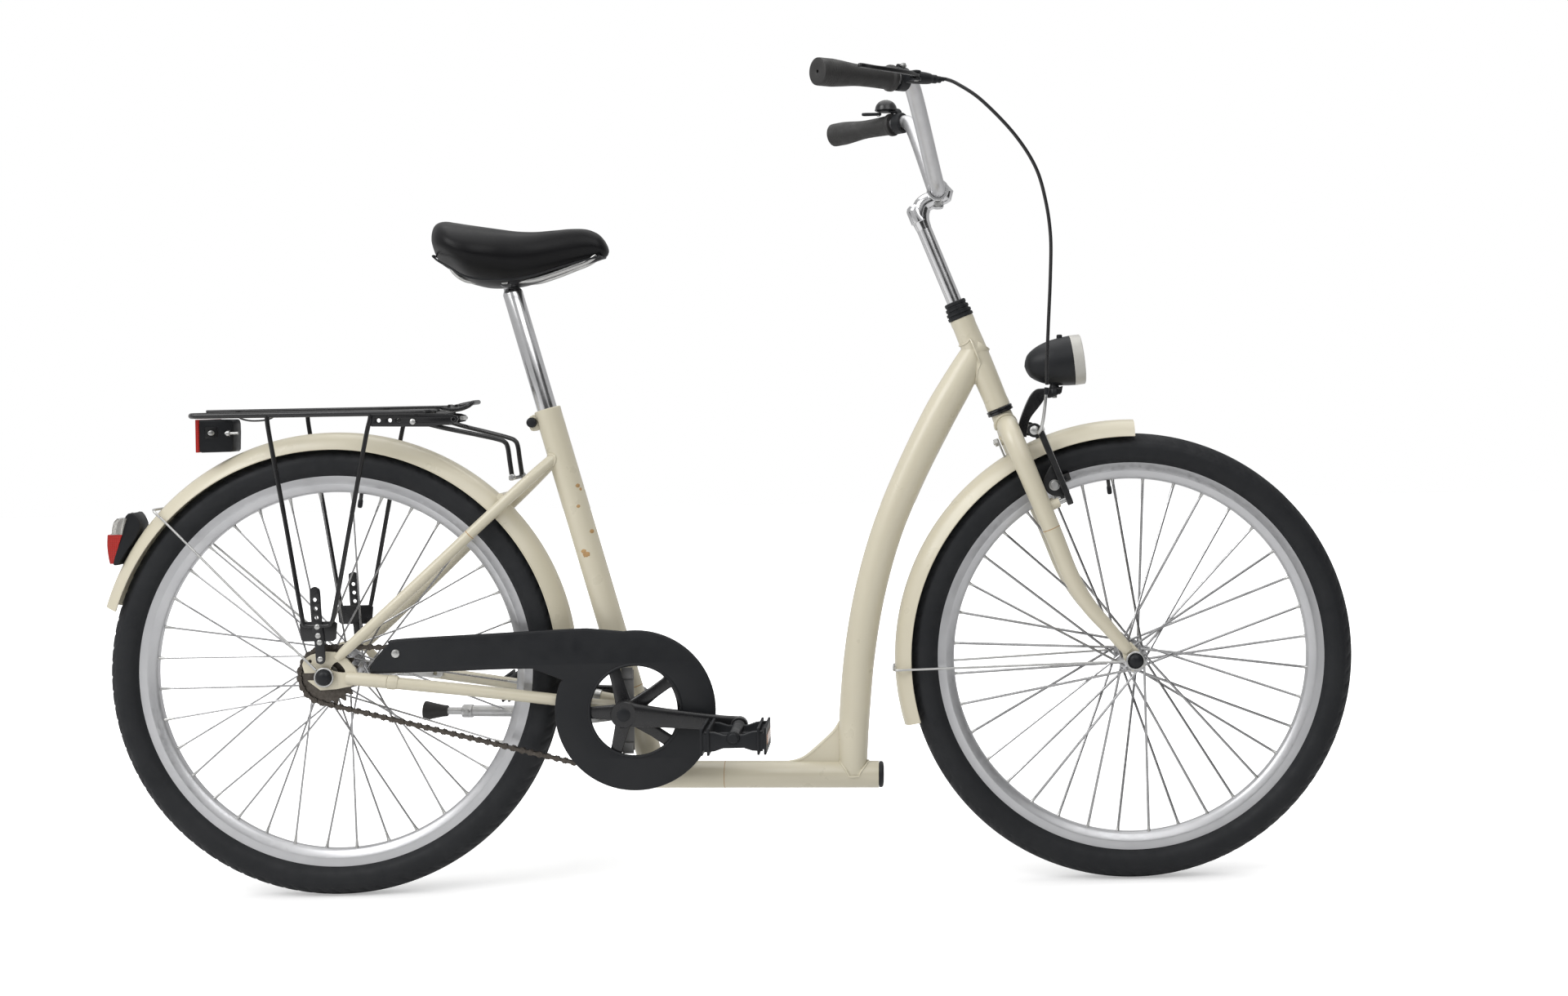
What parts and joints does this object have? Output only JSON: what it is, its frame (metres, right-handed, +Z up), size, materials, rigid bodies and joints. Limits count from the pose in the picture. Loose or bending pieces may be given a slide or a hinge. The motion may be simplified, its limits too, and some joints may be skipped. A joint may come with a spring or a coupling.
{
  "type": "bicycle",
  "caption": "City bicycle with a low step-through frame, swept handlebar, mudguards, chain guard, rear rack and folding kickstand.",
  "frame": {"origin": "bottom centre of the bicycle's bounding box, on the ground between the wheels", "axes": "+X forward, +Y to the rider's left, +Z up; the chain is on the -Y side"},
  "size_m": [1.815, 0.5946, 1.1815],
  "materials": {
    "cream_paint": "gloss enamel, cream",
    "silver_alloy": "satin silver",
    "zinc_steel": "zinc-plated, dull",
    "chrome": "chromed, bright",
    "black_plastic": "moulded, matt black",
    "black_paint": "powder coat, black",
    "tyre": "black tread",
    "rubber": "soft black",
    "vinyl": "black vinyl cover",
    "lamp_glass": "clear, moulded ribs",
    "red_lens": "translucent red"
  },
  "bodies": {
    "frame": {"head_tube": "cream_paint", "headset_lower": "black_paint", "down_tube": "cream_paint", "bottom_tube": "cream_paint", "bottom_tube_plug": "black_plastic", "seat_tube": "cream_paint", "bottom_bracket_shell": "cream_paint", "rear_stays_right": "cream_paint", "rear_stays_left": "cream_paint", "rear_axle": "zinc_steel", "rear_mudguard": "cream_paint", "rear_guard_stay": "zinc_steel", "tail_lamp_body": "black_plastic", "tail_lamp_lens": "red_lens", "rack": "black_paint", "rack_reflector": "black_plastic", "chain_guard": "black_plastic", "kickstand_bracket": "zinc_steel", "chain": "zinc_steel"},
    "steering": {"fork": "cream_paint", "front_axle": "zinc_steel", "headset_upper": "black_paint", "stem": "chrome", "handlebar": "silver_alloy", "grip_right": "rubber", "grip_left": "rubber", "lever_body": "black_plastic", "bell_body": "black_plastic", "brake_cable": "black_plastic", "brake_wire": "black_plastic", "headlamp_body": "black_plastic", "headlamp_lens": "lamp_glass", "front_mudguard": "cream_paint", "front_guard_stay": "zinc_steel"},
    "front_wheel": {"front_tyre": "tyre", "front_rim": "silver_alloy", "front_inner_tube": "rubber", "front_hub": "zinc_steel"},
    "rear_wheel": {"rear_tyre": "tyre", "rear_rim": "silver_alloy", "rear_inner_tube": "rubber", "rear_hub": "zinc_steel"},
    "cranks": {"crank_right": "black_paint", "crank_left": "black_paint", "chainring": "black_paint"},
    "sprocket": {"rear_sprocket": "zinc_steel"},
    "right_pedal": {"pedal_right": "black_plastic"},
    "left_pedal": {"pedal_left": "black_plastic"},
    "brake_lever": {"lever_blade": "black_plastic"},
    "right_brake_arm": {"brake_arm_right": "black_paint", "brake_pad_right": "rubber"},
    "left_brake_arm": {"brake_arm_left": "black_paint", "brake_pad_left": "rubber"},
    "bell_thumb": {"bell_lever": "black_plastic"},
    "kickstand": {"kickstand_leg": "zinc_steel"},
    "clip": {"rack_clip": "black_paint"},
    "seat": {"seatpost": "chrome", "saddle_rails": "zinc_steel", "saddle": "vinyl"}
  },
  "joints": [
    {"name": "steering_turn", "type": "hinge", "parent": "frame", "child": "steering", "pos_m": [0.3949, 0, 0.6935], "axis": [-0.3714, 0, 0.9285], "range_deg": [-70, 70]},
    {"name": "front_wheel_spin", "type": "hinge", "parent": "steering", "child": "front_wheel", "pos_m": [0.583, 0, 0.3265], "axis": [0, 1, 0], "continuous": true},
    {"name": "rear_wheel_spin", "type": "hinge", "parent": "frame", "child": "rear_wheel", "pos_m": [-0.575, 0, 0.3265], "axis": [0, 1, 0], "continuous": true},
    {"name": "crank_spin", "type": "hinge", "parent": "frame", "child": "cranks", "pos_m": [-0.15023, 0, 0.266], "axis": [0, 1, 0], "continuous": true},
    {"name": "sprocket_spin", "type": "hinge", "parent": "frame", "child": "sprocket", "pos_m": [-0.575, 0, 0.3265], "axis": [0, 1, 0], "continuous": true},
    {"name": "right_pedal_spin", "type": "hinge", "parent": "cranks", "child": "right_pedal", "pos_m": [0.0138, -0.128, 0.24818], "axis": [0, 1, 0], "continuous": true},
    {"name": "left_pedal_spin", "type": "hinge", "parent": "cranks", "child": "left_pedal", "pos_m": [-0.31427, 0.128, 0.28382], "axis": [0, 1, 0], "continuous": true},
    {"name": "brake_lever_pull", "type": "hinge", "parent": "steering", "child": "brake_lever", "pos_m": [0.27894, -0.2185, 1.14346], "axis": [0, 0, 1], "range_deg": [-12, 0], "stiffness_Nm_per_rad": 0.6, "springref_deg": 17.19},
    {"name": "right_arm_close", "type": "hinge", "parent": "steering", "child": "right_brake_arm", "pos_m": [0.49072, -0.048, 0.56165], "axis": [0.9285, 0, 0.3714], "range_deg": [-1.5, 0]},
    {"name": "left_arm_close", "type": "hinge", "parent": "steering", "child": "left_brake_arm", "pos_m": [0.49072, 0.048, 0.56165], "axis": [-0.9285, 0, -0.3714], "range_deg": [-1.5, 0]},
    {"name": "bell_thumb_push", "type": "hinge", "parent": "steering", "child": "bell_thumb", "pos_m": [0.223, 0.203, 1.1605], "axis": [0, 0, 1], "range_deg": [0, 25], "stiffness_Nm_per_rad": 0.05, "springref_deg": -17.19},
    {"name": "kickstand_swing", "type": "hinge", "parent": "frame", "child": "kickstand", "pos_m": [-0.213, 0.047, 0.25], "axis": [0.1372, -0.9799, -0.145], "range_deg": [0, 95]},
    {"name": "rack_clip_lift", "type": "hinge", "parent": "frame", "child": "clip", "pos_m": [-0.401, 0, 0.7085], "axis": [0, 1, 0], "range_deg": [0, 60], "stiffness_Nm_per_rad": 1.5, "springref_deg": -22.92},
    {"name": "seatpost_height", "type": "slide", "parent": "frame", "child": "seat", "axis": [-0.2672, 0, 0.9636], "range_m": [-0.06, 0.05]}
  ],
  "couplings": [
    {"joint": "sprocket_spin", "follows": "crank_spin", "ratio": 2.2},
    {"joint": "right_arm_close", "follows": "brake_lever_pull", "ratio": 0.125},
    {"joint": "left_arm_close", "follows": "brake_lever_pull", "ratio": 0.125}
  ]
}
